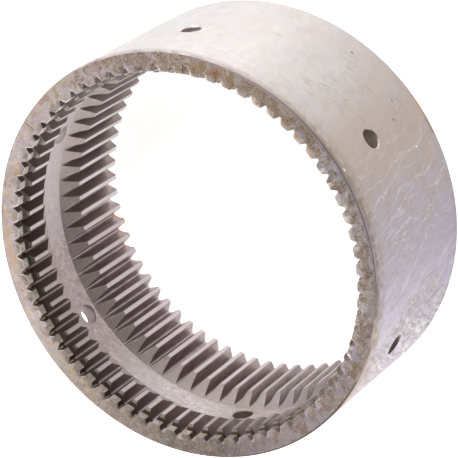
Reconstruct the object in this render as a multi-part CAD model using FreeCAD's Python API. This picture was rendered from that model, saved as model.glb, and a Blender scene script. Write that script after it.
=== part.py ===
import FreeCAD, Part
import math
import os

from FreeCAD import Vector

# Internal ring gear with a stepped bore, turned and shaped from one forging.
# Axis along +Z. Origin on the axis, in the back face. The front face, which has
# the retaining ring groove behind it, points along +Z. A radial hole lies on +X.

# Tooth form, lengths in millimetres and the angle in degrees
tooth_count = 70
module = 3.0
pressure_angle = 25.0
addendum_modules = 1.0
dedendum_modules = 1.25
# The shaper cutter is drawn back by this much, so that the spaces are shallower and narrower
profile_shift_modules = 0.25

# Rim
rim_wall = 8.5
outer_chamfer = 1.0

# Lengths along the axis, from the front face to the back
front_land_length = 4.6
groove_width = 2.4
short_teeth_length = 14.4
bevel_length = 11.6
relief_width = 15.5
long_teeth_length = 41.6

# Steps of the bore: the front lands stand back from the tips, the groove and the
# relief are cut a little deeper than the roots
front_land_setback = 2.75
groove_undercut = 0.6
relief_undercut = 0.25
short_teeth_chamfer = 0.8

# Radial oil holes in the middle of the relief
hole_count = 6
hole_diameter = 11.5
hole_chamfer = 0.5

# How far the cutting shapes run past the metal
overrun = 2.0

pitch_radius = module * tooth_count / 2
base_radius = pitch_radius * math.cos(math.radians(pressure_angle))
tip_radius = pitch_radius - addendum_modules * module
root_radius = pitch_radius + (dedendum_modules - profile_shift_modules) * module
outer_radius = root_radius + rim_wall
front_land_radius = tip_radius + front_land_setback
groove_radius = root_radius + groove_undercut
relief_radius = root_radius + relief_undercut

# Heights of the steps above the back face
relief_bottom = long_teeth_length + bevel_length
relief_top = relief_bottom + relief_width
short_teeth_bottom = relief_top + bevel_length
groove_bottom = short_teeth_bottom + short_teeth_length
groove_top = groove_bottom + groove_width
total_width = groove_top + front_land_length
hole_height = (relief_bottom + relief_top) / 2


def involute(radius):
    """Angle by which an involute of the base circle has turned at this radius."""
    unwound = math.acos(base_radius / radius)
    return math.tan(unwound) - unwound


def half_space(radius):
    """Half the angle of a tooth space, a quarter pitch less the shift at the pitch circle."""
    shift = 2 * profile_shift_modules * math.tan(math.radians(pressure_angle)) / tooth_count
    return math.pi / (2 * tooth_count) - shift + involute(pitch_radius) - involute(radius)


def polar(radius, angle):
    return Vector(radius * math.cos(angle), radius * math.sin(angle), 0)


def arc(points):
    return Part.Arc(*points).toShape()


def turned(section, axis):
    """A solid of revolution. The section lists its corners, along and across the axis."""
    outline = Part.makePolygon(section + section[:1])
    return Part.Face(outline).revolve(Vector(0, 0, 0), axis, 360)


def blank():
    """The ring before its teeth are cut, turned from one stepped section."""
    steps = [
        (outer_radius - outer_chamfer, 0),
        (outer_radius, outer_chamfer),
        (outer_radius, total_width - outer_chamfer),
        (outer_radius - outer_chamfer, total_width),
        (front_land_radius, total_width),
        (front_land_radius, groove_top),
        (groove_radius, groove_top),
        (groove_radius, groove_bottom),
        (tip_radius + short_teeth_chamfer, groove_bottom),
        (tip_radius, groove_bottom - short_teeth_chamfer),
        (tip_radius, short_teeth_bottom),
        (relief_radius, relief_top),
        (relief_radius, relief_bottom),
        (tip_radius, long_teeth_length),
        (tip_radius, 0),
    ]
    return turned([Vector(radius, 0, height) for radius, height in steps], Vector(0, 0, 1))


def teeth_cutter():
    """A toothed plug that takes out every tooth space: its own teeth fill the spaces.

    Each flank is an arc through three points of the involute, and leaves it by less
    than a hundredth of a millimetre.
    """
    core_radius = tip_radius - overrun
    middle_radius = (core_radius + root_radius) / 2
    pitch_angle = 2 * math.pi / tooth_count
    edges = []
    for tooth in range(tooth_count):
        centre = tooth * pitch_angle
        next_centre = centre + pitch_angle
        rising = [polar(r, centre - half_space(r)) for r in (core_radius, middle_radius, root_radius)]
        falling = [polar(r, centre + half_space(r)) for r in (root_radius, middle_radius, core_radius)]
        next_start = polar(core_radius, next_centre - half_space(core_radius))
        edges.append(arc(rising))
        edges.append(arc([rising[-1], polar(root_radius, centre), falling[0]]))
        edges.append(arc(falling))
        edges.append(arc([falling[-1], polar(core_radius, centre + pitch_angle / 2), next_start]))
    outline = Part.Wire(edges)
    plug = Part.Face(outline).extrude(Vector(0, 0, total_width + 2 * overrun))
    return plug.translated(Vector(0, 0, -overrun))


def drills():
    """One cutter for each radial hole, widening outwards to break the outer edge."""
    hole_radius = hole_diameter / 2
    inner_end = relief_radius - overrun
    chamfer_start = outer_radius - hole_chamfer
    outer_end = outer_radius + overrun
    section = [
        Vector(inner_end, 0, 0),
        Vector(inner_end, 0, hole_radius),
        Vector(chamfer_start, 0, hole_radius),
        Vector(outer_end, 0, hole_radius + outer_end - chamfer_start),
        Vector(outer_end, 0, 0),
    ]
    drill = turned(section, Vector(1, 0, 0)).translated(Vector(0, 0, hole_height))
    step = 360 / hole_count
    return [drill.rotated(Vector(0, 0, 0), Vector(0, 0, 1), step * hole) for hole in range(hole_count)]


def ring_gear():
    return blank().cut(teeth_cutter()).cut(drills()).Solids[0]


os.makedirs("parts", exist_ok=True)
ring_gear().exportStep("parts/ring_gear.step")
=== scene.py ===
"""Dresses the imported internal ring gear: one closed numpy surface in bare steel, lying in a white studio."""

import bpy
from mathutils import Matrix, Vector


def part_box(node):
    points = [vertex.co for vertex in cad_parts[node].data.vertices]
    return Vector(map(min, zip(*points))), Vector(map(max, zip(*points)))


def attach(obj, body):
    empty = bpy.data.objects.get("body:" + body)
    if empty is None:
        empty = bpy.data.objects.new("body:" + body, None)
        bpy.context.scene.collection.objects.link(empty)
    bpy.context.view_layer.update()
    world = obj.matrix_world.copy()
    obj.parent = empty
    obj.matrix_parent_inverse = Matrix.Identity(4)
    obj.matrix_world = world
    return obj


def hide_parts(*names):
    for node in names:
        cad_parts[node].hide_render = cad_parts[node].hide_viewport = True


bl_info = {
    "name": "Internal Ring Gear",
    "version": (1, 0, 0),
    "blender": (4, 5, 0),
    "location": "View3D > Sidebar > Ring Gear",
    "description": "Builds a bare steel internal ring gear and the white studio that it lies in",
    "category": "Object",
}

import math
from functools import partial

import bpy
import numpy as np
from bpy.props import FloatProperty, FloatVectorProperty, IntProperty, PointerProperty
from mathutils import Matrix, Vector

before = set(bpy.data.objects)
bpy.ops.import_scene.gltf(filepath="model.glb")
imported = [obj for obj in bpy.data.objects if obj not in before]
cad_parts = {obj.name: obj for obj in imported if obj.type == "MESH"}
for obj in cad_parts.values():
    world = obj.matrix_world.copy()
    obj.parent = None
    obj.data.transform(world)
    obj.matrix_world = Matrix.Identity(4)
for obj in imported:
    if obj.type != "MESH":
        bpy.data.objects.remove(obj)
_, CAD_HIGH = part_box("ring_gear")
RIM_MM, FRONT_MM = CAD_HIGH.x * 1000, CAD_HIGH.z * 1000
FINISHES = (
    "outside", "end_face", "outer_chamfer", "tooth_chamfer", "flank", "root", "tip",
    "bevel", "relief", "groove", "tooth_end", "worn_edge", "oil_hole",
)
# Radii nearer than this are one radius
SAME = 1e-7
# Half the height of the block of cells that gives way to an oil hole, outside and in the relief, and where
# its rows stand, as shares of that
OUTER_BLOCK, INNER_BLOCK = 0.0085, 0.007
THIRDS = np.arange(-3, 4) / 3
BLOCK_ROWS = len(THIRDS) - 1
# How far a root's rounded corner reaches up the flank, for each unit that it reaches along the root
FILLET_DEPTH = 1.5
# Edges that turn by more degrees than this stay sharp
SHARP = 26
# A height just below the relief, where the finishes of the inside change
MIDDLE = 0.05
# Distance and side of the soft lamps
LAMP_AWAY, LAMP_SIDE = 1.6, 0.9


def linear(code):
    """The linear colour of an sRGB hex code such as #A09088."""
    parts = [int(code[i : i + 2], 16) / 255 for i in (1, 3, 5)]
    return tuple(p / 12.92 if p <= 0.04045 else ((p + 0.055) / 1.055) ** 2.4 for p in parts)


def length(name, description, default):
    return FloatProperty(name=name, description=description, default=default, subtype="DISTANCE", unit="LENGTH")


def colour(name, description, code):
    return FloatVectorProperty(
        name=name, description=description, default=linear(code), min=0, max=1, size=3, subtype="COLOR"
    )


def turn(name, description, degrees):
    return FloatProperty(
        name=name, description=description, default=math.radians(degrees), subtype="ANGLE", unit="ROTATION"
    )


def power(name, description, watts):
    return FloatProperty(name=name, description=description, default=watts, unit="POWER")


class RingGearSizes(bpy.types.PropertyGroup):
    """The gear's own sizes, in metres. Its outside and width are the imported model's."""

    tooth_count: IntProperty(name="Teeth", description="Number of teeth", default=70, min=12)
    module: length("Module", "Pitch diameter for each tooth", 0.003)
    pressure_angle: turn("Pressure angle", "Angle of the flanks at the pitch circle", 25)
    drawn_back: length("Cutter drawn back", "How far the tooth spaces are short of a standard cut", 0.00075)
    outer_radius: length("Outer radius", "Radius of the turned outside", CAD_HIGH.x)
    width: length("Width", "Length along the axis", CAD_HIGH.z)
    tip_radius: length("Tip radius", "Radius of the bore over the tooth tips", 0.102)
    land_radius: length("Front land radius", "Radius of the bore in front of the groove", 0.10475)
    root_radius: length("Root radius", "Radius of the bottoms of the tooth spaces", 0.108)
    root_fillet: length("Root fillet", "How far the rounded corner reaches along the root", 0.0004)
    tip_break: length("Tip break", "How far the rounded edge of a tip reaches along tip and flank", 0.0003)
    relief_radius: length("Relief radius", "Radius of the oil relief between the two sets of teeth", 0.10825)
    groove_radius: length("Groove radius", "Radius of the retaining ring groove", 0.1086)
    outer_chamfer: length("Outer chamfer", "Chamfer at both ends of the outside", 0.001)
    land_length: length("Front land length", "From the front face to the groove", 0.0046)
    groove_width: length("Groove width", "Width of the retaining ring groove", 0.0024)
    short_teeth: length("Short teeth", "Length of the short teeth", 0.0144)
    short_chamfer: length("Short tooth chamfer", "Chamfer at the front tips of the short teeth", 0.0008)
    bevel: length("Bevel", "Length of the bevelled tooth ends beside the relief", 0.0116)
    relief_width: length("Relief width", "Width of the relief between the bevels", 0.0155)
    hole_count: IntProperty(name="Oil holes", description="Number of radial oil holes", default=6, min=1)
    hole_radius: length("Oil hole radius", "Radius of a radial oil hole", 0.00575)
    hole_chamfer: length("Oil hole chamfer", "Broken edge at both ends of an oil hole", 0.0005)
    edge_break: length("Edge break", "Mean width of the broken front edges of the short teeth", 0.0002)
    front_break: length("Front edge break", "Mean width of the worn edge at the front face", 0.00018)
    land_rounding: length("Land rounding", "How far the corners of the front lands are worn back", 0.0002)
    back_break: length("Back edge break", "Depth of the worn edge round the back ends of the teeth", 0.00035)
    back_length: length("Back edge length", "Length along the axis of the worn edge at the back", 0.0013)


class RingGearColours(bpy.types.PropertyGroup):
    """Colours of the clean and the stained steel, some of which also carry painted light and shade."""

    steel: colour("Steel", "Turned steel under a thin film of oil", "#C2B8B6")
    beige: colour("Beige film", "Yellowed oil on the outside", "#C8B9AF")
    # Also a lilac painted reflection on the outside round -124°
    lilac: colour("Lilac film", "Cool sheen on the outside", "#CBC6D7")
    # This paler steel on the +X side of the outside is a painted highlight, not cleaner steel
    pale: colour("Pale steel", "Cleaner steel on the +X side", "#CCC6C3")
    # This duller steel on the +Y side of the outside is painted shade, not duller steel
    grey: colour("Grey steel", "Duller steel on the +Y side", "#B5B2B0")
    # Also painted highlights on the end faces, the outer chamfers and the hole walls
    bright: colour("Bright steel", "Freshly bared steel", "#E6DFE0")
    # Also painted highlights on the tooth ends, the worn edges and the back ends of the tips
    white: colour("Nick", "Steel bared by a knock", "#FFFAF6")
    # Also painted shade on the tooth ends round -126°
    khaki: colour("Khaki stain", "Old oil stain", "#A3947E")
    # Also spots of painted shade that dim highlights at the front
    brown: colour("Brown stain", "Dark grime in the tool lines", "#63544B")
    # Also painted shade on the outside, the end faces and the front tips
    stained: colour("Stained steel", "Steel under grime", "#8F847C")
    # Also painted shade in the notches of the front lands
    grime: colour("Grime", "Thick grime in corners and along edges", "#40342D")
    face: colour("End face", "Turned end face", "#BFB0A9")
    # Also painted shade on the outside round -146°, and painted tints on the end faces round -145° and 10°
    face_lilac: colour("End face, lilac", "Cool sheen on the end face", "#B7ABBA")
    face_beige: colour("End face, beige", "Yellowed oil on the end face", "#C2B19F")
    # Also a painted highlight on the end faces round 85°
    face_bright: colour("End face, bright", "Scuffed spots on the end face", "#D8CDC8")
    worn: colour("Worn edge", "Edges rubbed bare", "#B9B4AC")
    ochre: colour("Ochre stain", "Dried rusty oil", "#A6865A")
    peach: colour("Peach stain", "Thin rusty film", "#D2AC88")
    rust: colour("Rust", "Orange rust", "#A0602A")
    amber: colour("Amber rust", "Thin yellow rust", "#D9A036")
    tip: colour("Tooth tip", "Bored tips of the teeth", "#D9CECB")
    tip_pink: colour("Tooth tip, pink", "Cool sheen on the tips", "#D6CACE")
    bevel: colour("Bevel", "Turned bevels of the tooth ends", "#C4B9B7")
    relief: colour("Relief", "Turned relief", "#D3C4C4")
    inner_beige: colour("Inner beige film", "Yellowed oil on the inside", "#CBBEB8")
    mauve: colour("Mauve film", "Thick film in the relief", "#B19EA2")
    root: colour("Root", "Shaped bottoms of the tooth spaces", "#B4A9AC")
    flank: colour("Flank", "Shaped flanks", "#998B88")
    flank_deep: colour("Flank, stained", "Oiled patches of the flanks", "#85777A")
    # Oil in the groove, and also the painted shadow of the front lands on the tooth ends
    olive_oil_and_shadow: colour("Groove", "Oil in the retaining ring groove", "#92816E")
    hole: colour("Oil hole", "Drilled wall of an oil hole", "#B3A7A4")


class RingGearStudio(bpy.types.PropertyGroup):
    """The camera's place and the strength of the lamps."""

    azimuth: turn("Azimuth", "Camera's direction from the axis", -57.771)
    elevation: turn("Elevation", "Camera's height over the horizon", 54.270)
    roll: turn("Roll", "Camera's turn about its own axis", -124.675)
    distance: length("Distance", "From the camera to the point it looks at", 1.40924)
    lens: FloatProperty(
        name="Lens", description="Focal length in millimetres on a 36 mm sensor", default=200.093, unit="CAMERA"
    )
    key: power("Key light", "Strength of the lamp over the +X side", 10.5)
    low_key: power("Low key light", "Strength of the low lamp on the +X side", 10.5)
    side: power("Side light", "Strength of the low lamp on the +Y side", 17.8)
    back: power("Back light", "Strength of the low lamp on the -X side", 12.3)
    low_back: power("Low back light", "Strength of the second low lamp on the -X side", 11.4)
    ceiling: power("Ceiling", "Strength of the high lamp", 5.0)


# The surface


def involute(angle):
    """How far an involute has turned where its pressure angle is this."""
    return np.tan(angle) - angle


def tooth_columns(s):
    """Columns round the ring: the angle of each, and the radius that the tooth space reaches there.

    Half a space is a root arc, a rounded corner, an involute flank and a rounded edge at the tip,
    and the other half mirrors it. The half angle of the space is a quarter pitch less the shift at
    the pitch circle, plus the difference of the involutes. The corner and the edge are parabolas.
    On a tooth tip the space reaches no further than the tip.
    """
    pitch_radius = s.module * s.tooth_count / 2
    base_radius = pitch_radius * math.cos(s.pressure_angle)
    pitch_angle = 2 * math.pi / s.tooth_count
    shift = s.drawn_back * math.tan(s.pressure_angle) / pitch_radius

    def half_space(radius):
        turned = involute(s.pressure_angle) - involute(np.arccos(base_radius / radius))
        return pitch_angle / 4 - shift + turned

    def rounded(start, corner, end, steps):
        t = np.linspace(0, 1, steps)[:, None]
        return (1 - t) ** 2 * start + 2 * t * (1 - t) * corner + t**2 * end

    def on_flank(radius):
        return np.array([half_space(radius), radius])

    root, tip = on_flank(s.root_radius), on_flank(s.tip_radius)
    fillet_end = on_flank(s.root_radius - FILLET_DEPTH * s.root_fillet)
    fillet = rounded(root - [s.root_fillet / s.root_radius, 0], root, fillet_end, 4)
    low, high = fillet[-1, 1], s.tip_radius + s.short_chamfer
    flank = [on_flank(r) for r in ((low + s.land_radius) / 2, s.land_radius, high)]
    edge = rounded(on_flank(s.tip_radius + s.tip_break), tip, tip + [s.tip_break / s.tip_radius, 0], 3)
    half = np.vstack([[0, s.root_radius], fillet, flank, edge, [pitch_angle / 2, s.tip_radius]])
    half_angle, half_reach = half[:, 0], half[:, 1]
    angle = np.concatenate([-half_angle[-2:0:-1], half_angle])
    reach = np.concatenate([half_reach[-2:0:-1], half_reach])
    starts = pitch_angle * np.arange(s.tooth_count)
    return (starts[:, None] + angle).ravel(), np.tile(reach, s.tooth_count), np.sort(np.unique(half_reach))


def section_stations(s, cut_radii):
    """Stations round the turned section, as rows of radius, height and edge break, and the finish of
    the strip after each.

    It runs out over the front face, down the outside, in over the back face and up the stepped bore.
    The bevels have a station at every radius that a column's space reaches, so the tooth ends are
    cut exactly. Rows beside the oil holes stand closer.
    """
    rows, finishes = [], []

    def put(radius, height, finish, edge=0.0):
        rows.append((radius, height, edge))
        finishes.append(finish)

    relief_low = s.width - s.land_length - s.groove_width - s.short_teeth - s.bevel - s.relief_width
    relief_high = relief_low + s.relief_width
    short_low = relief_high + s.bevel
    groove_low = short_low + s.short_teeth
    groove_high = groove_low + s.groove_width
    long_high = relief_low - s.bevel
    hole_height = (relief_low + relief_high) / 2
    clear = s.groove_radius + 0.001  # out past the worn edges of the tooth spaces
    brow = s.outer_radius - s.outer_chamfer

    put(s.land_radius, s.width, "end_face", s.front_break)
    put(clear, s.width, "end_face")
    put((clear + brow) / 2, s.width, "end_face")
    put(brow, s.width, "outer_chamfer")
    put(s.outer_radius, s.width - s.outer_chamfer, "outside")
    outer_rows = len(rows)
    for height in hole_height - OUTER_BLOCK * THIRDS:
        put(s.outer_radius, height, "outside")
    put(s.outer_radius, s.outer_chamfer, "outer_chamfer")
    put(brow, 0, "end_face")
    put((clear + brow) / 2, 0, "end_face")
    put(clear, 0, "end_face")
    put(s.tip_radius, 0, "worn_edge", s.back_break)
    put(s.tip_radius, s.back_length * 0.3, "worn_edge", s.back_break * 0.45)
    put(s.tip_radius, s.back_length, "tip")
    put(s.tip_radius, long_high / 2, "tip")
    slope = s.bevel / (s.relief_radius - s.tip_radius)
    for radius in cut_radii:
        put(radius, long_high + (radius - s.tip_radius) * slope, "bevel")
    put(s.relief_radius, relief_low, "relief")
    inner_rows = len(rows)
    for height in hole_height + INNER_BLOCK * THIRDS:
        put(s.relief_radius, height, "relief")
    put(s.relief_radius, relief_high, "bevel")
    for radius in cut_radii[::-1]:
        put(radius, short_low - (radius - s.tip_radius) * slope, "bevel")
    finishes[-1] = "tip"
    put(s.tip_radius, (short_low + groove_low) / 2, "tip")
    put(s.tip_radius, groove_low - s.short_chamfer, "tooth_chamfer")
    put(s.tip_radius + s.short_chamfer, groove_low, "tooth_end", s.edge_break)
    put(s.groove_radius, groove_low, "groove")
    put(s.groove_radius, groove_high, "groove")
    put(s.land_radius, groove_high, "tip")
    put(s.land_radius, s.width - s.front_break, "worn_edge")
    put(s.land_radius, s.width - 0.3 * s.front_break, "worn_edge", 0.3 * s.front_break)
    return np.array(rows), finishes, outer_rows, inner_rows, hole_height


def ring_surface(s):
    """The whole gear as one closed surface: points, triangles and the finish of each triangle.

    It is a torus grid of columns round the axis and stations round the section. A point's radius is
    the larger of the section's radius and the reach of the tooth space, which is the turned blank
    with its spaces cut. A station with an edge break stands outside that outline by a width that
    wanders round the ring, as a hand-filed edge does. A cell is split along the diagonal that
    follows the cut edge. At each oil hole a block of cells gives way to rings round the hole.
    """
    angle, reach, cut_radii = tooth_columns(s)
    rows, finishes, outer_rows, inner_rows, hole_height = section_stations(s, cut_radii)
    columns, stations = len(angle), len(rows)
    radius = np.maximum(rows[:, :1], reach)
    worn = (rows[:, :1] == s.land_radius) & (np.abs(reach - s.land_radius) < SAME)
    radius = radius + worn * s.land_rounding
    x, y = radius * np.cos(angle), radius * np.sin(angle)
    z = np.repeat(rows[:, 1:2], columns, axis=1)

    wander = np.random.default_rng(11)
    width = 0.6 + 1.6 * smooth_noise(wander, columns, 7) ** 2 + 1.2 * smooth_noise(wander, columns, 60) ** 3
    for row in np.flatnonzero(rows[:, 2]):
        along_x = np.roll(x[row], -1) - np.roll(x[row], 1)
        along_y = np.roll(y[row], -1) - np.roll(y[row], 1)
        size = np.hypot(along_x, along_y)
        x[row] += along_y / size * width * rows[row, 2]
        y[row] -= along_x / size * width * rows[row, 2]
    points = np.stack([x, y, z], axis=-1).reshape(-1, 3)

    index = np.arange(columns * stations).reshape(stations, columns)
    right = np.roll(index, -1, axis=1)
    below = np.roll(index, -1, axis=0)
    across = np.roll(right, -1, axis=0)
    gap = np.abs(reach - rows[:, :1])
    gap_right, gap_below = np.roll(gap, -1, axis=1), np.roll(gap, -1, axis=0)
    gap_across = np.roll(gap_right, -1, axis=0)
    along = (gap + gap_across <= gap_right + gap_below)[..., None]
    first = np.where(along, np.stack([index, across, right], -1), np.stack([index, below, right], -1))
    second = np.where(along, np.stack([index, below, across], -1), np.stack([right, below, across], -1))

    keep = np.ones((stations, columns), bool)
    step = 2 * math.pi / s.hole_count
    blocks = []
    for hole in range(s.hole_count):
        off = (angle - hole * step + math.pi) % (2 * math.pi) - math.pi
        block = np.flatnonzero(np.abs(off) < OUTER_BLOCK / s.outer_radius)
        block = block[np.argsort(off[block])]
        blocks.append((hole * step, off[block], block))
        for start in (outer_rows, inner_rows):
            keep[np.ix_(range(start, start + BLOCK_ROWS), block[:-1])] = False
    triangles = np.concatenate([first[keep], second[keep]])
    cut = (reach > rows[:, :1] + SAME).ravel()
    names = np.array([FINISHES.index(f) for f in finishes])
    strip = np.repeat(names[:, None], columns, axis=1)
    finish = np.concatenate([strip[keep]] * 2)
    is_bore = np.isin(finish, [FINISHES.index(f) for f in ("tip", "bevel", "tooth_chamfer")])
    on_cut = cut[triangles].any(axis=1) & is_bore
    deep = reach[triangles % columns].min(axis=1) > s.root_radius - FILLET_DEPTH * s.root_fillet - SAME
    finish[on_cut] = FINISHES.index("flank")
    finish[on_cut & deep] = FINISHES.index("root")

    kinds = ("outside", "outside", "tip", "oil_hole", "oil_hole", "worn_edge", "relief", "relief")
    parts, tris, fins = [points], [triangles], [finish]
    count = len(points)
    for centre, off, block in blocks:
        rings, edges = hole_rings(s, centre, off, hole_height, block, index, outer_rows, inner_rows)
        size = len(edges[0])
        new = np.arange(len(rings) * size).reshape(len(rings), size) + count
        loops = np.vstack([edges[0], new, edges[1]])
        a, b = loops[:-1], np.roll(loops[:-1], -1, axis=1)
        c, d = np.roll(loops[1:], -1, axis=1), loops[1:]
        quads = np.concatenate([np.stack([a, c, b], -1), np.stack([a, d, c], -1)], axis=1)
        parts.append(np.concatenate(rings))
        tris.append(quads.reshape(-1, 3))
        fins.append(np.repeat([FINISHES.index(k) for k in kinds], 2 * size))
        count += len(rings) * size
    points, triangles, finish = np.concatenate(parts), np.concatenate(tris), np.concatenate(fins)
    used, triangles = np.unique(triangles, return_inverse=True)
    return points[used], triangles.reshape(-1, 3), finish


def smooth_noise(random, count, spread):
    """Random values from 0 to 1 in a closed row, smoothed over this many neighbours."""
    raw = np.fft.rfft(random.standard_normal(count))
    raw *= np.exp(-((np.arange(len(raw)) * spread / count) ** 2) * 4)
    raw[0] = 0
    value = np.fft.irfft(raw, count)
    return np.clip(0.5 + value / (4 * value.std()), 0, 1)


def hole_rings(s, centre, off, height, block, index, outer_rows, inner_rows):
    """Rings of one oil hole, from the block's border outside through the hole to the border inside.

    A ring is a circle of some radius about the hole's axis, laid on a cylinder about the gear's
    axis: across = radius times sine, along the gear = radius times cosine, and the depth follows
    from the cylinder. Ring points keep the directions of the border's points.
    """

    def border(start, downwards):
        grid = index[start : start + BLOCK_ROWS + 1][::downwards, block]
        return np.concatenate([grid[0, :-1], grid[:-1, -1], grid[-1, :0:-1], grid[:0:-1, 0]])

    fraction = off / np.abs(off).max()
    ends, level = np.ones(BLOCK_ROWS), np.ones(len(off) - 1)
    side = np.concatenate([fraction[:-1], fraction[-1] * ends, fraction[:0:-1], fraction[0] * ends])
    up = np.concatenate([level, THIRDS[:0:-1], -level, THIRDS[:-1]])
    turned = np.arctan2(side, up)
    cos, sin = math.cos(centre), math.sin(centre)

    def ring(radius, surface, depth):
        across = radius * np.sin(turned)
        out = np.sqrt(surface**2 - across**2) - depth
        x, y = out * cos - across * sin, out * sin + across * cos
        return np.stack([x, y, height + radius * np.cos(turned)], -1)

    wide = s.hole_radius + s.hole_chamfer
    even_outside, even_inside = 0.0008, 0.0003  # even cells this far round the broken edges
    rings = [
        ring(wide + even_outside, s.outer_radius, 0),
        ring(wide, s.outer_radius, 0),
        ring(s.hole_radius, s.outer_radius, s.hole_chamfer),
        ring(s.hole_radius, (s.outer_radius + s.relief_radius) / 2, 0),
        ring(s.hole_radius, s.relief_radius, -s.hole_chamfer),
        ring(wide, s.relief_radius, 0),
        ring(wide + even_inside, s.relief_radius, 0),
    ]
    return rings, (border(outer_rows, 1), border(inner_rows, -1))


# The finishes


def add(tree, kind, inputs=None, **settings):
    """Adds a node, sets what it is told to, and links or fills its inputs by name or number. A node given
    for an input stands for its first output."""
    node = tree.nodes.new("ShaderNode" + kind)
    for key, value in settings.items():
        setattr(node, key, value)
    for key, value in (inputs or {}).items():
        value = value.outputs[0] if isinstance(value, bpy.types.Node) else value
        if isinstance(value, bpy.types.NodeSocket):
            tree.links.new(value, node.inputs[key])
        else:
            node.inputs[key].default_value = value
    return node


class Steel:
    """A steel finish in the making: its node tree, where patterns are drawn, and its colour so far.

    A mask is a pattern that runs from 0 to 1, a number, or the three angles of a sector.
    """

    def __init__(self, name, clean, rough=0.42, spread=0.7):
        self.rough, self.spread, self.raised = rough, spread, None
        self.material = bpy.data.materials.new(name)
        self.material.use_nodes = True
        tree = self.material.node_tree
        tree.nodes.clear()
        self.add = partial(add, tree)
        self.place = self.add("TexCoord").outputs["Object"]
        xyz = self.add("SeparateXYZ", {0: self.place})
        self.height = xyz.outputs[2]
        self.flat = self.add("CombineXYZ", {0: xyz.outputs[0], 1: xyz.outputs[1]})
        self.radius = self.add("VectorMath", {0: self.flat}, operation="LENGTH").outputs["Value"]
        bearing = self.add("Math", {0: xyz.outputs[1], 1: xyz.outputs[0]}, operation="ARCTAN2")
        self.arc = self.add("Math", {0: bearing, 1: CAD_HIGH.x}, operation="MULTIPLY")
        # Places pushed about by up to a millimetre or so, which makes an outline ragged
        push = self.add("TexNoise", {"Vector": self.place, "Scale": 350.0, "Detail": 2.0}).outputs["Color"]
        push = self.add("VectorMath", {0: push, 1: (0.5, 0.5, 0.5)}, operation="SUBTRACT")
        push = self.add("VectorMath", {0: push, "Scale": 0.0025}, operation="SCALE")
        self.ragged = self.add("VectorMath", {0: self.place, 1: push})
        self.colour = self.add("RGB").outputs[0]
        self.colour.default_value = (*clean, 1)

    def scaled(self, place, sizes_mm):
        """A place in units of these sizes, so that one unit of a pattern is that long."""
        units = [1000 / size for size in sizes_mm]
        return self.add("VectorMath", {0: place, 1: units}, operation="MULTIPLY")

    def unrolled(self, along, sizes_mm, across=None):
        """The surface laid out flat: along the circumference, then across it, up the height if not told."""
        flat = self.add("CombineXYZ", {0: along, 1: across or self.height})
        return self.scaled(flat, (*sizes_mm, 1))

    def leaning(self, slope):
        """The distance round the ring, moved on by this share of the height, so that patterns lean over."""
        sum_up = {0: self.height, 1: slope, 2: self.arc}
        return self.add("Math", sum_up, operation="MULTIPLY_ADD")

    def noise(self, place, low, high, detail=4.0, roughness=0.6, distortion=0.0, seed=0.0):
        """A cloudy pattern, stretched so that these two of its values become 0 and 1."""
        inputs = {"Vector": place, "W": seed, "Scale": 1.0, "Detail": detail, "Roughness": roughness}
        inputs["Distortion"] = distortion
        pattern = self.add("TexNoise", inputs, noise_dimensions="4D")
        return self.between(pattern.outputs["Fac"], low, high)

    def cloud(self, size_mm, low, high, **settings):
        """The same pattern through the whole steel, with clouds of this size or of these three sizes."""
        sizes_mm = size_mm if isinstance(size_mm, tuple) else (size_mm,) * 3
        return self.noise(self.scaled(self.place, sizes_mm), low, high, **settings)

    def film(self, along, sizes_mm, low, high, across=None, **settings):
        """The same pattern on the surface laid out flat, with clouds of these sizes along and across."""
        return self.noise(self.unrolled(along, sizes_mm, across), low, high, **settings)

    def between(self, value, low, high, to_low=0.0, to_high=1.0):
        """A value stretched, so that low and high become these two others, and held between them."""
        ends = {"Value": value, "From Min": low, "From Max": high, "To Min": to_low, "To Max": to_high}
        return self.add("MapRange", ends, clamp=True)

    def threads(self, value, width):
        """Thin soft lines where a value passes through whole numbers."""
        off = self.add("Math", {0: value, 1: 0.5}, operation="PINGPONG")
        return self.between(off, width, width * 0.3)

    def contours(self, place, count, width, seed=0.0):
        """Wavy threads: the lines at which a cloudy pattern passes through evenly spaced values."""
        pattern = self.noise(place, 0, 1, roughness=0.5, distortion=0.6, seed=seed)
        steps = self.add("Math", {0: pattern, 1: count}, operation="MULTIPLY")
        return self.threads(steps, width)

    def wrinkles(self, around, gap_mm, cloud_mm, sway, width, seed=0.0):
        """Lines along the axis, this far apart round it, that sway as far as a cloudy pattern pushes them."""
        pattern = self.film(around, cloud_mm, 0, 1, detail=5.0, roughness=0.55, seed=seed)
        push = self.add("Math", {0: pattern, 1: sway * 2}, operation="MULTIPLY")
        lines = {0: around, 1: 1000 / gap_mm, 2: push}
        return self.threads(self.add("Math", lines, operation="MULTIPLY_ADD"), width)

    def net(self, place, width, bend):
        """Scuffs: the borders of stretched cells, bent by a cloudy pattern."""
        inputs = {"Vector": place, "W": 0.0, "Scale": 1.3, "Detail": 4.0, "Roughness": 0.6}
        bent = self.add("TexNoise", inputs, noise_dimensions="4D").outputs["Color"]
        bent = self.add("VectorMath", {0: bent, 1: (bend, bend, 0.0), 2: place}, operation="MULTIPLY_ADD")
        cells = {"feature": "DISTANCE_TO_EDGE", "voronoi_dimensions": "2D"}
        cells = self.add("TexVoronoi", {"Vector": bent, "Scale": 1.0}, **cells)
        return self.between(cells.outputs["Distance"], width, width * 0.3)

    def sector(self, azimuth, half, soft):
        """The ring within this angle of an azimuth, fading over twice the soft angle, all in degrees."""
        a = math.radians(azimuth)
        towards = (math.cos(a), math.sin(a), 0)
        away = self.add("VectorMath", {0: self.flat}, operation="NORMALIZE")
        facing = self.add("VectorMath", {0: away, 1: towards}, operation="DOT_PRODUCT").outputs["Value"]
        outer, inner = (math.cos(math.radians(half + side * soft)) for side in (1, -1))
        return self.between(facing, outer, inner)

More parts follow.
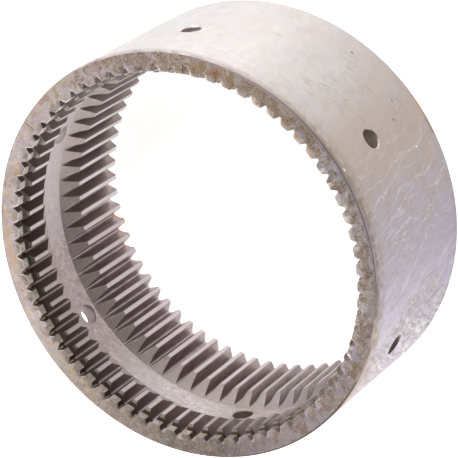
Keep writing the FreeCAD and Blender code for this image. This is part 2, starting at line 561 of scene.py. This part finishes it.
    def spot(self, azimuth, radius, height, sizes_mm, turned=0, soft=0.5, flat=False):
        """A ragged oval on the surface, 1 inside and 0 outside: its half length, half width and, square
        to the surface, half depth. It lies along the circumference and is turned from there, towards
        the axis on a side and inwards on a flat face."""
        a, b = math.radians(azimuth), math.radians(turned)
        out, up = Vector((math.cos(a), math.sin(a), 0)), Vector((0, 0, 1))
        around = up.cross(out)
        normal, other = (up, -out) if flat else (out, up)
        along = around * math.cos(b) + other * math.sin(b)
        axes = Matrix((along, normal.cross(along), normal)).transposed()
        centre, sizes = (out * radius + up * height) / 1000, [size / 1000 for size in sizes_mm]
        oval = {"Vector": self.ragged, 1: centre, 2: axes.to_euler(), 3: sizes}
        local = self.add("Mapping", oval, vector_type="TEXTURE")
        far = self.add("VectorMath", {0: local}, operation="LENGTH").outputs["Value"]
        return self.between(far, 1.0 + soft, 1.0 - soft)

    def times(self, *masks):
        """The product of these masks."""
        product, *others = (self.sector(*mask) if isinstance(mask, tuple) else mask for mask in masks)
        for other in others:
            product = self.add("Math", {0: product, 1: other}, operation="MULTIPLY")
        return product

    def paint(self, colour, *masks):
        """Covers the finish with a colour where the product of the masks is 1."""
        inputs = {0: self.times(*masks), 6: self.colour, 7: (*colour, 1)}
        self.colour = self.add("Mix", inputs, data_type="RGBA").outputs[2]

    def shade(self, pattern, dark, light):
        """Scales the finish's colour, from dark where the pattern is 0 to light where it is 1."""
        scaled = {0: self.colour, "Scale": self.between(pattern, 0, 1, dark, light)}
        self.colour = self.add("VectorMath", scaled, operation="SCALE")

    def grain(self, size_mm, dark, light):
        """A fine grain through the whole finish."""
        self.shade(self.cloud(size_mm, 0.3, 0.7, detail=2.0, seed=20.0), dark, light)

    def finish(self, depth_mm=0.006):
        """Adds the metal, with the raised pattern standing up in it. The spread is how far the tool's lines
        widen a highlight across themselves."""
        raised = {"Distance": depth_mm / 1000, "Height": self.raised}
        inputs = {"Base Color": self.colour, "Metallic": 1.0, "Roughness": self.rough}
        inputs["Normal"] = self.add("Bump", raised)
        if self.spread:
            around = self.add("Tangent", direction_type="RADIAL", axis="Z")
            inputs |= {"Anisotropic": self.spread, "Anisotropic Rotation": 0.25, "Tangent": around}
        shader = self.add("BsdfPrincipled", inputs)
        self.add("OutputMaterial", {"Surface": shader})
        return self.material


def turned_steel(name, clean, tint, grime, share, patch_mm=9, line_mm=0.9, flat=False, **lustre):
    """Turned steel: a film of oil in soft patches, grime in small specks, and fine lines round the axis,
    which draw a highlight out across them."""
    steel = Steel(name, clean, **lustre)
    steel.paint(tint, steel.cloud(patch_mm, 0.4, 0.62, distortion=0.8))
    specks = steel.cloud(patch_mm * 0.22, 0.52, 0.68, seed=3.0)
    cloud = steel.cloud(patch_mm * 0.8, 0.62 - 0.3 * share, 0.72 - 0.3 * share, seed=5.0)
    steel.paint(grime, specks, cloud, 0.7)
    across = steel.radius if flat else steel.height
    steel.raised = steel.film(steel.arc, (line_mm * 40, line_mm), 0.3, 0.7, across=across, detail=2.0)
    steel.shade(steel.raised, 0.95, 1.05)
    steel.grain(1.2, 0.93, 1.07)
    return steel


def outside_steel(c):
    """The turned outside: bright, with beige and lilac films, wrinkles in the oil, wisps, nicks and a
    dirty front edge, and painted highlight, shade and a lilac painted reflection in sectors round it."""
    steel = Steel("turned_steel_outside", c.steel)
    soft = steel.scaled(steel.place, (24, 24, 24))
    fine = steel.scaled(steel.place, (5, 5, 5))
    slanted = steel.leaning(0.15)
    steel.paint(c.beige, (-64, 20, 12), 0.8)
    # Painted highlight round -22°, painted shade round 24°, a lilac painted reflection round -124° and painted
    # shade round -147°
    steel.paint(c.pale, (-22, 26, 9))
    steel.paint(c.grey, (24, 30, 14))
    steel.paint(c.lilac, (-124, 26, 12))
    steel.paint(c.stained, (-148, 24, 12), 0.5)
    steel.paint(c.face_lilac, (-146, 24, 12), 0.6)
    steel.paint(c.beige, steel.noise(soft, 0.42, 0.66, distortion=1.0), 0.35)
    steel.paint(c.lilac, steel.noise(soft, 0.45, 0.7, distortion=1.0, seed=4.0), 0.35)
    # Clouds and threads of dried oil all over
    threads = steel.contours(steel.unrolled(slanted, (34, 30)), 5.0, 0.05, seed=1.0)
    steel.paint(c.bright, threads, steel.noise(soft, 0.45, 0.62, seed=14.0), 0.22)
    clouds = steel.film(slanted, (7, 13), 0.3, 0.7, detail=5.0, distortion=1.2, seed=6.0)
    steel.shade(clouds, 0.95, 1.05)
    short = steel.film(steel.arc, (8, 1.0), 0.53, 0.66, detail=3.0, distortion=0.6, seed=22.0)
    steel.paint(c.khaki, short, steel.noise(soft, 0.42, 0.58, seed=23.0), (-34, 28, 12), 0.5)
    # Wrinkles that run along the axis where a film has drained off the side
    wrinkled = steel.times((-82, 15, 7), steel.noise(fine, 0.3, 0.5, seed=7.0))
    patches = steel.cloud(12, 0.42, 0.58, seed=25.0)
    steel.paint(c.lilac, patches, (-88, 14, 8), 0.6)
    steel.paint(c.mauve, (-86, 12, 8), 0.15)
    leaning = steel.leaning(0.35)
    broad = {0: steel.wrinkles(slanted, 8.0, (17, 42), 2.4, 0.08)}
    broad[1] = steel.wrinkles(leaning, 17.0, (19, 50), 1.3, 0.035, seed=31.0)
    broad = steel.add("Math", broad, operation="MAXIMUM")
    broad = steel.times(broad, steel.film(slanted, (9, 44), 0.36, 0.52, seed=24.0))
    narrow = steel.times(steel.wrinkles(slanted, 3.4, (9, 20), 2.2, 0.17, seed=5.0), (-90, 14, 8))
    steel.paint(c.bright, broad, wrinkled, 0.7)
    steel.paint(c.bright, narrow, steel.noise(fine, 0.4, 0.6, seed=8.0), 0.4)
    # Crinkled and mottled film below them
    crinkled = steel.sector(-105, 17, 9)
    rough = {"detail": 5.0, "roughness": 0.7, "distortion": 2.0}
    steel.paint(c.lilac, steel.film(slanted, (1.9, 4.2), 0.42, 0.6, seed=27.0, **rough), crinkled, 0.9)
    steel.paint(c.khaki, steel.film(slanted, (2.2, 4.2), 0.5, 0.66, seed=28.0, **rough), crinkled, 0.45)
    raised = steel.add("Math", {0: narrow, 1: 0.5, 2: broad}, operation="MULTIPLY_ADD")
    # Wisps of brown and bright scratches where it was dragged
    ragged = {"detail": 6.0, "distortion": 1.2}
    wisps = steel.film(leaning, (8, 24), 0.52, 0.66, roughness=0.65, seed=2.0, **ragged)
    steel.paint(c.khaki, wisps, (-110, 9, 8), 0.6)
    wisps = steel.film(leaning, (8, 24), 0.52, 0.64, roughness=0.7, seed=9.0, **ragged)
    steel.paint(c.bright, wisps, (-108, 9, 6), 0.9)
    # A grey mottle and broad pale runs, drawn out on a slant
    run = steel.leaning(1.5)
    over = steel.leaning(-0.66)
    light = steel.film(over, (9, 60), 0.5, 0.6, across=run, detail=5.0, distortion=0.8, seed=32.0)
    steel.paint(c.bright, light, (-132, 15, 8), 0.75)
    grey = steel.film(over, (3.4, 22), 0.47, 0.6, across=run, roughness=0.65, distortion=1.0, seed=16.0)
    steel.paint(c.stained, grey, (-131, 18, 7), 0.75)
    mottle = steel.cloud(2.2, 0.5, 0.6, distortion=0.8, seed=12.0)
    blot = steel.spot(-110, RIM_MM, 52, (9, 26, 10), 10)
    steel.paint(c.khaki, mottle, blot, 0.8)
    # A dirty band along the front edge, and two fine turned lines in it
    blots = steel.cloud(4, 0.38, 0.6, seed=11.0)
    edge = steel.between(steel.height, CAD_HIGH.z - 0.012, CAD_HIGH.z - 0.002)
    steel.paint(c.khaki, edge, (-92, 50, 15), blots, 0.95)
    corner = steel.between(steel.height, CAD_HIGH.z - 0.03, CAD_HIGH.z)
    steel.paint(c.khaki, corner, (-140, 22, 10), 0.6)
    for below in (0.0016, 0.0030):
        line = {0: steel.height, 1: CAD_HIGH.z - below, 2: 0.0004}
        near = steel.add("Math", line, operation="COMPARE")
        steel.paint(c.brown, near, 0.3)
    for azimuth, height, sizes, turned, strength, stain in OUTSIDE_MARKS:
        mark = steel.spot(azimuth, RIM_MM, height, (*sizes, 3), turned, 0.4)
        steel.paint(getattr(c, stain), mark, strength)
    steel.grain(1.1, 0.96, 1.04)
    steel.raised = steel.times(raised, wrinkled)
    return steel.finish(0.05)


# Marks on the outside, in degrees and millimetres: azimuth, height, half sizes, turn, strength and colour
OUTSIDE_MARKS = (
    (-20.6, 41.2, (4.6, 0.3), -8, 0.55, "brown"),
    (-21.5, 43.6, (1.6, 0.3), -8, 0.35, "brown"),
    (-22.5, 83.0, (0.4, 13), 6, 0.3, "bright"),
    (-37.3, 69.1, (3.6, 0.3), 20, 0.35, "brown"),
    (-38.6, 71.5, (2.6, 0.3), 12, 0.4, "brown"),
    (-41.9, 61.4, (3.0, 0.35), 25, 0.4, "brown"),
    (-41.5, 77.6, (2.4, 0.3), 10, 0.35, "brown"),
    (-43.0, 63.5, (2.2, 0.3), 30, 0.3, "brown"),
    (-44.5, 58.3, (1.8, 0.35), 15, 0.35, "brown"),
    (-48.2, 58.1, (1.6, 0.5), 30, 0.3, "brown"),
    (-38.0, 16.9, (0.9, 0.9), 0, 0.8, "brown"),
    (-59.3, 31.9, (0.8, 0.8), 0, 0.7, "brown"),
    (-55.0, 22.0, (0.7, 0.7), 0, 0.5, "brown"),
    (-68.7, 24.8, (0.9, 0.7), 0, 1.0, "white"),
    (-62.7, 99.4, (0.9, 0.7), 0, 1.0, "white"),
    (-60.6, 1.0, (5.5, 2.0), 0, 0.6, "amber"),
    (-66.0, 2.0, (6.0, 1.6), 0, 0.6, "khaki"),
    (-112.0, 22.0, (1.6, 9.0), 12, 0.3, "brown"),
    (-111.0, 96.0, (6.0, 3.0), 0, 0.5, "ochre"),
    (-103.0, 97.0, (4.0, 2.0), 0, 0.35, "ochre"),
)


def end_face_steel(c):
    """The front and back faces: lilac and beige steel under ochre stains with dark specks, cleaner at the
    teeth, with painted highlight and shade in sectors round the axis."""
    steel = Steel("stained_turned_end_face", c.face)
    soft = steel.scaled(steel.place, (6, 6, 6))
    # Painted highlight by azimuth, where a turned face's highlight falls: paler round 72° to 85° and round -86°
    steel.paint(c.face_bright, (85, 42, 18), 0.7)
    steel.paint(c.bright, (-86, 26, 12), 0.9)
    steel.paint(c.bright, (72, 12, 10), 0.4)
    steel.paint(c.face_lilac, steel.noise(soft, 0.42, 0.58, distortion=0.7), 0.8)
    # Painted shade by azimuth: darker round 163°, -145° and -24°, and a cooler painted tint round 10°
    steel.paint(c.stained, (163, 34, 12), 0.78)
    steel.paint(c.stained, (-146, 20, 14), 0.25)
    steel.paint(c.face_lilac, (-144, 20, 14), 0.7)
    steel.paint(c.stained, (-24, 18, 14), 0.6)
    steel.paint(c.face_lilac, (10, 10, 8), 0.7)
    steel.paint(c.face_beige, steel.noise(soft, 0.46, 0.62, distortion=0.9, seed=3.0), 0.8)
    # Rusty oil, dried in radial strokes: heavy on the +X side and towards -Y, light elsewhere
    heavy = {0: steel.sector(-22, 38, 12), 1: steel.times((-72, 34, 12), 0.4)}
    heavy = steel.add("Math", heavy, operation="MAXIMUM")
    medium, smooth = steel.sector(-125, 30, 14), steel.sector(100, 50, 16)
    cloud = {"Vector": soft, "Scale": 1.0, "Detail": 5.0, "Distortion": 0.8}
    cloud = steel.add("TexNoise", cloud).outputs["Fac"]
    for where, more in ((heavy, 0.13), (medium, 0.05), (smooth, -0.05)):
        cloud = steel.add("Math", {0: where, 1: more, 2: cloud}, operation="MULTIPLY_ADD")
    strokes = steel.unrolled(steel.arc, (0.9, 2.4), steel.radius)
    small = steel.unrolled(steel.arc, (0.8, 1.3), steel.radius)
    steel.paint(c.ochre, steel.between(cloud, 0.5, 0.64), steel.noise(strokes, 0.34, 0.56, seed=1.0), 0.75)
    thin = steel.cloud(5, 0.48, 0.62, seed=18.0)
    steel.paint(c.peach, thin, smooth, 0.45)
    dark = steel.noise(small, 0.46, 0.58, detail=5.0, roughness=0.7, seed=8.0)
    steel.paint(c.brown, dark, steel.between(cloud, 0.5, 0.7), 0.8)
    streaks = steel.noise(strokes, 0.52, 0.64, seed=15.0)
    steel.paint(c.brown, streaks, 0.25)
    pale = steel.noise(small, 0.53, 0.64, seed=13.0)
    steel.paint(c.face_bright, pale, 0.5)
    # The worn teeth and a sheen along the outer edge
    steel.paint(c.worn, steel.between(steel.radius, 0.1068, 0.1052), 0.5)
    edge = steel.times(steel.between(steel.radius, 0.1138, 0.1148), (-60, 48, 12))
    steel.paint(c.face_lilac, edge, 0.55)
    for azimuth, radius, sizes, turned, strength, stain in FACE_MARKS:
        mark = steel.spot(azimuth, radius, FRONT_MM, (*sizes, 3), turned, 0.6, flat=True)
        steel.paint(getattr(c, stain), mark, strength)
    steel.grain(1.0, 0.93, 1.07)
    steel.raised = pale
    return steel.finish(0.04)


# Marks on the front face, in degrees and millimetres: azimuth, radius, half sizes, turn, strength and colour
FACE_MARKS = (
    (347.0, 111.3, (3.5, 2.0), 10, 0.45, "ochre"),
    (340.7, 110.5, (4.0, 2.0), 0, 0.5, "rust"),
    (336.0, 108.5, (2.2, 3.0), 0, 0.4, "ochre"),
    (86.5, 112.5, (9.0, 2.2), 0, 0.45, "peach"),
    (94.0, 111.5, (7.0, 2.6), 0, 0.45, "peach"),
    (66.0, 108.3, (2.2, 1.2), 0, 0.45, "amber"),
    (62.5, 109.5, (2.2, 1.6), 0, 0.3, "amber"),
    (240.0, 113.2, (3.0, 1.4), 0, 0.4, "ochre"),
    (266.5, 110.5, (3.0, 1.6), 0, 0.4, "ochre"),
    # Painted shade: a brown spot that dims a highlight at a notch of the front lands
    (233.1, 106.1, (1.6, 1.2), 0, 0.7, "brown"),
)


def flank_steel(c, roots):
    """Shaped flanks, or the roots between them: the shaper's lines run along the axis and the steel is darker
    and browner in patches, with rust at the back ends of three teeth and painted shade in the notches of the
    front lands."""
    name, clean, deep = (
        "shaped_roots", c.root, c.flank
    ) if roots else ("shaped_flanks", c.flank, c.flank_deep)
    steel = Steel(name, clean, spread=0.0)
    low = steel.between(steel.height, MIDDLE, 0.012)
    high = steel.between(steel.height, MIDDLE, 0.06)
    # Lighter at the back round 104° to 124°, paler round -158° and 28°, and darker at the front round 84°
    steel.paint(c.relief, low, (124, 35, 16), 0.42)
    steel.paint(c.relief, low, (104, 10, 10), 0.3)
    steel.paint(c.bright, (-158, 26, 12), 0.12)
    steel.paint(c.bright, (28, 10, 8), 0.35)
    steel.paint(c.brown, high, (84, 12, 10), 0.5)
    steel.raised = steel.cloud((1.0, 1.0, 26), 0.35, 0.65, detail=3.0)
    patches = steel.cloud((4, 4, 9), 0.42, 0.62, seed=2.0)
    steel.paint(deep, patches, 0.6)
    steel.shade(steel.raised, 0.86, 1.1)
    # Painted shade in the notches of the front lands, in grime colour, except in the lit sector round 98°; a
    # little more round 30°, and a khaki tone round 98°
    notch = steel.between(steel.height, CAD_HIGH.z - 0.006, CAD_HIGH.z - 0.0045)
    lit = steel.between(steel.sector(98, 22, 14), 0, 1, 1, 0)
    steel.paint(c.grime, notch, (100, 96, 14), lit, 0.35)
    steel.paint(c.grime, notch, (30, 9, 6), 0.25)
    steel.paint(c.khaki, notch, (98, 30, 10), 0.45)
    if roots:
        # The front part of the roots khaki round 106° and paler round 172°
        steel.paint(c.khaki, high, (106, 22, 8), 0.45)
        steel.paint(c.bright, high, (172, 14, 8), 0.8)
    rusted(steel, c)
    return steel.finish(0.01)


def rusted(steel, c):
    """Fresh rust at the back ends of three teeth."""
    for azimuth, radius in ((97.9, 107.0), (99.9, 102.5), (103.4, 107.6), (105.0, 102.6), (108.4, 107.0)):
        steel.paint(c.rust, steel.spot(azimuth, radius, 0.6, (1.6, 2.4, 1.9), soft=0.5), 0.95)
        steel.paint(c.amber, steel.spot(azimuth, radius, 0.2, (0.9, 1.0, 1.2), soft=0.5), 0.9)


def chamfer_steel(c):
    """The outer chamfers: dull and stained, with a painted highlight on the near side over a thin dark line,
    paler round 0° and nearly black round 190°.
    """
    steel = turned_steel("stained_chamfer", c.stained, c.beige, c.brown, 0.2, rough=0.65, spread=0.0)
    # Painted highlight on the near side: beige round -60° and bright round -76°
    near = steel.sector(-60, 36, 8)
    steel.paint(c.beige, near)
    steel.paint(c.bright, (-76, 10, 8), 0.8)
    inner = steel.between(steel.radius, CAD_HIGH.x - 0.0005, CAD_HIGH.x - 0.0008)
    steel.paint(c.brown, inner, near, 0.68)
    # Paler round 0° and nearly black round 190°
    steel.paint(c.bright, (0, 24, 12), 0.3)
    steel.paint(c.grime, (190, 50, 12), 0.9)
    return steel.finish()


def tooth_end_steel(c):
    """The front ends of the short teeth: freshly turned and bright, with a painted shadow of the front lands at
    the groove, a painted highlight round 80° and painted shade round -126°.
    """
    steel = turned_steel("turned_tooth_end", c.bright, c.beige, c.brown, 0.3, flat=True)
    # Painted shadow of the front lands: olive on the tooth ends beyond a radius of about 104 mm
    steel.paint(c.olive_oil_and_shadow, steel.between(steel.radius, 0.1036, 0.1042))
    # Painted highlight round 80°, on tooth ends that the narrow groove keeps in shade
    steel.paint(c.white, (80, 48, 14), 0.9)
    # Painted shade round -126°, and a brown spot at -117.4° that dims a highlight
    steel.paint(c.khaki, (-126, 16, 6), 0.8)
    steel.paint(c.brown, (-117.4, 2.5, 1), 0.9)
    return steel.finish()


def worn_edge_steel(c):
    """The edges of the teeth: rubbed bare, so they show as thin bright lines, with a painted highlight round
    72° and a spot of painted shade at -126.5°.
    """
    steel = turned_steel("worn_edge", c.bright, c.worn, c.brown, 0.2, rough=0.65, spread=0.0)
    steel.paint(c.face, steel.between(steel.height, MIDDLE, 0.06))
    # Painted highlight round 72°
    steel.paint(c.white, (72, 52, 14), 0.9)
    # Painted shade: a brown spot that dims a highlight at -126.5°
    steel.paint(c.brown, (-126.5, 3.5, 1.5), 0.85)
    rusted(steel, c)
    return steel.finish()


def relief_steel(c):
    """The relief: turned, under a mauve film with pale scuffs and threads in it."""
    steel = turned_steel("turned_relief", c.relief, c.inner_beige, c.stained, 0.3, patch_mm=5)
    cloud = steel.cloud(5, 0.4, 0.6, detail=3.0, distortion=2.0, seed=9.0)
    steel.paint(c.mauve, cloud, (112, 28, 14), 0.85)
    scuffs = steel.contours(steel.scaled(steel.place, (6, 6, 6)), 4.0, 0.12, seed=30.0)
    steel.paint(c.white, scuffs, (158, 10, 6))
    marks = steel.net(steel.unrolled(steel.arc, (5, 4)), 0.09, bend=1.3)
    faded = steel.cloud(6, 0.45, 0.6, seed=7.0)
    steel.paint(c.bright, marks, faded, 0.65)
    steel.paint(c.stained, steel.cloud((6, 6, 4), 0.45, 0.6, seed=26.0), 0.25)
    steel.paint(c.bright, (156, 16, 10), 0.45)
    steel.paint(c.bright, (68, 22, 10), 0.5)
    return steel.finish()


def tip_steel(c):
    """The tips of the teeth: bored and clean, the brightest part of the inside, with painted light and shade
    by azimuth.
    """
    steel = turned_steel("bored_tooth_tips", c.tip, c.tip_pink, c.khaki, 0.1, line_mm=1.0)
    low, high = steel.between(steel.height, MIDDLE, 0.03), steel.between(steel.height, 0.07, 0.08)
    # Painted highlight on the back ends round 68°, and painted shade on the front tips round 118° and 200°. The
    # back ends are also darker round 190°, all tips browner round -120°, and the front tips paler round 64°
    steel.paint(c.white, low, (68, 20, 12), 0.7)
    steel.paint(c.stained, low, (190, 12, 8), 0.35)
    steel.paint(c.stained, high, (118, 14, 12), 0.4)
    steel.paint(c.stained, high, (200, 22, 8), 0.75)
    steel.paint(c.brown, (-120, 5, 2))
    steel.paint(c.bright, high, (64, 20, 12), 0.5)
    land = steel.between(steel.height, CAD_HIGH.z - 0.0055, CAD_HIGH.z - 0.0045)
    steel.paint(c.khaki, land, steel.cloud((1.2, 1.2, 3), 0.35, 0.6, seed=3.0), 0.8)
    return steel.finish()


def bevel_steel(c):
    """The bevelled tooth ends beside the relief: turned, with little grime."""
    steel = turned_steel("turned_tooth_bevels", c.bevel, c.inner_beige, c.brown, 0.15, patch_mm=7)
    steel.paint(c.stained, (154, 18, 12), 0.4)
    steel.paint(c.bright, (190, 6, 5), 0.6)
    return steel.finish()


def hole_steel(c):
    """The walls of the oil holes: drilled, dull and grainy, with a darker mouth in the relief, darker round
    180° and with painted light round 80°.
    """
    steel = Steel("drilled_oil_hole", c.hole, rough=0.8, spread=0.0)
    steel.paint(c.brown, steel.cloud(3, 0.42, 0.6), 0.2)
    # Darker round 180°; painted light on the walls round 80°, over the shade low in the holes
    steel.paint(c.grime, (180, 8, 3), 0.7)
    steel.paint(c.bright, (80, 30, 20), 0.75)
    steel.paint(c.khaki, (-60, 20, 8), 0.5)
    steel.paint(c.brown, (-60, 20, 8), 0.25)
    steel.paint(c.brown, (-120, 8, 3), 0.35)
    # The hole near az 120 stands out from the relief by its darker wall and mouth
    steel.paint(c.mauve, (124, 6, 3), 0.4)
    mouth = steel.between(steel.radius, CAD_HIGH.x - 0.0058, CAD_HIGH.x - 0.0080)
    steel.paint(c.brown, mouth, (120, 10, 5), 0.85)
    steel.raised = steel.cloud(1.2, 0.3, 0.7)
    return steel.finish()


def finish_materials(c):
    """One material for each of FINISHES, in its order."""
    tooth_chamfer = turned_steel(
        "stained_tooth_chamfer", c.stained, c.olive_oil_and_shadow, c.grime, 0.6, rough=0.6, spread=0.0
    )
    made = {
        "outside": outside_steel(c),
        "end_face": end_face_steel(c),
        "outer_chamfer": chamfer_steel(c),
        "tooth_chamfer": tooth_chamfer.finish(),
        "flank": flank_steel(c, roots=False),
        "root": flank_steel(c, roots=True),
        "tip": tip_steel(c),
        "bevel": bevel_steel(c),
        "relief": relief_steel(c),
        "groove": turned_steel("oily_groove", c.olive_oil_and_shadow, c.brown, c.brown, 0.5).finish(),
        "tooth_end": tooth_end_steel(c),
        "worn_edge": worn_edge_steel(c),
        "oil_hole": hole_steel(c),
    }
    return [made[name] for name in FINISHES]


class RING_GEAR_OT_build_ring(bpy.types.Operator):
    """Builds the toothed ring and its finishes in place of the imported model's node"""

    bl_idname = "ring_gear.build_ring"
    bl_label = "Build Ring"

    def execute(self, context):
        sizes = context.scene.ring_gear_sizes
        points, triangles, finish = ring_surface(sizes)
        mesh = bpy.data.meshes.new("internal_ring_gear")
        mesh.from_pydata(points, [], triangles)
        mesh.polygons.foreach_set("material_index", finish.astype(np.int32))
        for material in finish_materials(context.scene.ring_gear_colours):
            mesh.materials.append(material)
        mesh.polygons.foreach_set("use_smooth", np.ones(len(triangles), bool))
        mesh.set_sharp_from_angle(angle=math.radians(SHARP))
        if mesh.validate():
            raise RuntimeError("the ring's surface has faces that do not hold together")
        ring = bpy.data.objects.new("internal_ring_gear", mesh)
        context.scene.collection.objects.link(ring)
        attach(ring, "root")
        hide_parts("ring_gear")
        return {"FINISHED"}


# The studio


def direction(azimuth, elevation):
    level = math.cos(elevation)
    return Vector((math.cos(azimuth) * level, math.sin(azimuth) * level, math.sin(elevation)))


def soft_lamp(name, azimuth, height, power):
    """A square area lamp in this direction, in degrees, that looks at the middle of the ring."""
    data = bpy.data.lights.new(name, "AREA")
    data.shape = "RECTANGLE"
    data.size = data.size_y = LAMP_SIDE
    data.energy = power
    lamp = bpy.data.objects.new(name, data)
    lamp.location = LAMP_AWAY * direction(math.radians(azimuth), math.radians(height))
    lamp.rotation_euler = (Vector((0, 0, 0.05)) - lamp.location).to_track_quat("-Z", "Y").to_euler()
    bpy.context.scene.collection.objects.link(lamp)


def white_floor(half):
    """A white floor that the camera sees as paper white, and that keeps a soft shadow.

    In the steel it shows as white paper with a painted shadow of the ring in its glow: dimmer on +X
    inside it, and on -Y outside it.
    """
    x, y = np.meshgrid([-half, half], [-half, half])
    points = np.stack([x, y, np.zeros_like(x)], -1).reshape(-1, 3)
    mesh = bpy.data.meshes.new("studio_floor")
    mesh.from_pydata(points, [], [(0, 1, 3, 2)])
    material = bpy.data.materials.new("matt_white_paper")
    material.use_nodes = True
    tree = material.node_tree
    tree.nodes.clear()
    place = add(tree, "TexCoord").outputs["Object"]
    away = add(tree, "VectorMath", {0: place}, operation="NORMALIZE")
    # Painted shadow of the ring in the glow that the steel sees: dimmer towards +X inside the ring and towards
    # -Y outside it
    shadowed_glows = []
    for side, near, far in (((1.0, 0.0, 0.0), 0.79, 0.4), ((-0.14, -0.99, 0.0), 0.98, 0.39)):
        towards = add(tree, "VectorMath", {0: away, 1: side}, operation="DOT_PRODUCT").outputs["Value"]
        glow = {"Value": towards, "To Min": near, "To Max": far}
        shadowed_glows.append(add(tree, "MapRange", glow, clamp=True))
    radius = add(tree, "VectorMath", {0: place}, operation="LENGTH").outputs["Value"]
    outside = add(tree, "MapRange", {"Value": radius, "From Min": 0.095, "From Max": 0.105})
    glow = add(tree, "Mix", {0: outside, 2: shadowed_glows[0], 3: shadowed_glows[1]})
    rays = add(tree, "LightPath")
    in_steel = {0: rays.outputs["Is Glossy Ray"], 1: rays.outputs["Is Transmission Ray"]}
    in_steel = add(tree, "Math", in_steel, operation="MAXIMUM")
    in_steel = add(tree, "Math", {0: in_steel, 1: glow}, operation="MULTIPLY")
    seen = {0: rays.outputs["Is Camera Ray"], 1: 0.92, 2: in_steel}
    seen = add(tree, "Math", seen, operation="MULTIPLY_ADD")
    paper = add(tree, "BsdfDiffuse", {"Color": (0.8, 0.8, 0.8, 1)})
    glow = add(tree, "Emission", {"Strength": seen})
    both = add(tree, "AddShader", {0: paper, 1: glow})
    add(tree, "OutputMaterial", {"Surface": both})
    mesh.materials.append(material)
    floor = bpy.data.objects.new("studio_floor", mesh)
    bpy.context.scene.collection.objects.link(floor)


class RING_GEAR_OT_build_stage(bpy.types.Operator):
    """Sets up the white floor, the soft lamps and the camera at the photograph's viewpoint"""

    bl_idname = "ring_gear.build_stage"
    bl_label = "Build Stage"

    def execute(self, context):
        scene = context.scene
        studio = scene.ring_gear_studio
        white_floor(half=3.0)
        for lamp in (
            ("key_lamp", 0, 45, studio.key),
            ("low_key_lamp", 22, 17, studio.low_key),
            ("side_lamp", 120, 17, studio.side),
            ("back_lamp", 180, 17, studio.back),
            ("low_back_lamp", 210, 17, studio.low_back),
            ("ceiling_lamp", 85, 45, studio.ceiling),
        ):
            soft_lamp(*lamp)
        world = bpy.data.worlds.new("white_tent")
        world.use_nodes = True
        tree = world.node_tree
        tree.nodes.clear()
        rays = add(tree, "LightPath")
        seen = {0: rays.outputs["Is Camera Ray"], 1: rays.outputs["Is Transmission Ray"]}
        seen = add(tree, "Math", seen, operation="MAXIMUM")
        strength = add(tree, "MapRange", {"Value": seen, "To Min": 0.02, "To Max": 1.0})
        sky = add(tree, "Background", {"Color": (1, 1, 1, 1), "Strength": strength})
        add(tree, "OutputWorld", {"Surface": sky})
        scene.world = world

        # The point that the fitted camera looks at
        aim = Vector((-0.000838, -0.000987, CAD_HIGH.z / 2))
        back = direction(studio.azimuth, studio.elevation)
        data = bpy.data.cameras.new("photo_camera")
        data.lens = studio.lens
        data.sensor_width = 36
        data.clip_start, data.clip_end = 0.05, 20
        camera = bpy.data.objects.new("photo_camera", data)
        turned = back.to_track_quat("Z", "Y").to_matrix().to_4x4() @ Matrix.Rotation(studio.roll, 4, "Z")
        camera.matrix_world = Matrix.Translation(aim + back * studio.distance) @ turned
        scene.collection.objects.link(camera)
        scene.camera = camera
        scene.view_settings.view_transform = "Standard"
        return {"FINISHED"}


class RING_GEAR_PT_panel(bpy.types.Panel):
    """Lists the steps that build the ring gear"""

    bl_idname = "RING_GEAR_PT_panel"
    bl_label = "Ring Gear"
    bl_space_type = "VIEW_3D"
    bl_region_type = "UI"
    bl_category = "Ring Gear"

    def draw(self, context):
        for operator in (RING_GEAR_OT_build_ring, RING_GEAR_OT_build_stage):
            self.layout.operator(operator.bl_idname)


CLASSES = (
    RingGearSizes,
    RingGearColours,
    RingGearStudio,
    RING_GEAR_OT_build_ring,
    RING_GEAR_OT_build_stage,
    RING_GEAR_PT_panel,
)


def register():
    for cls in CLASSES:
        bpy.utils.register_class(cls)
    bpy.types.Scene.ring_gear_sizes = PointerProperty(type=RingGearSizes)
    bpy.types.Scene.ring_gear_colours = PointerProperty(type=RingGearColours)
    bpy.types.Scene.ring_gear_studio = PointerProperty(type=RingGearStudio)


def unregister():
    del bpy.types.Scene.ring_gear_sizes
    del bpy.types.Scene.ring_gear_colours
    del bpy.types.Scene.ring_gear_studio
    for cls in reversed(CLASSES):
        bpy.utils.unregister_class(cls)


def main():
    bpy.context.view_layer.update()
    register()
    bpy.ops.ring_gear.build_ring()
    bpy.ops.ring_gear.build_stage()


if __name__ == "__main__":
    main()
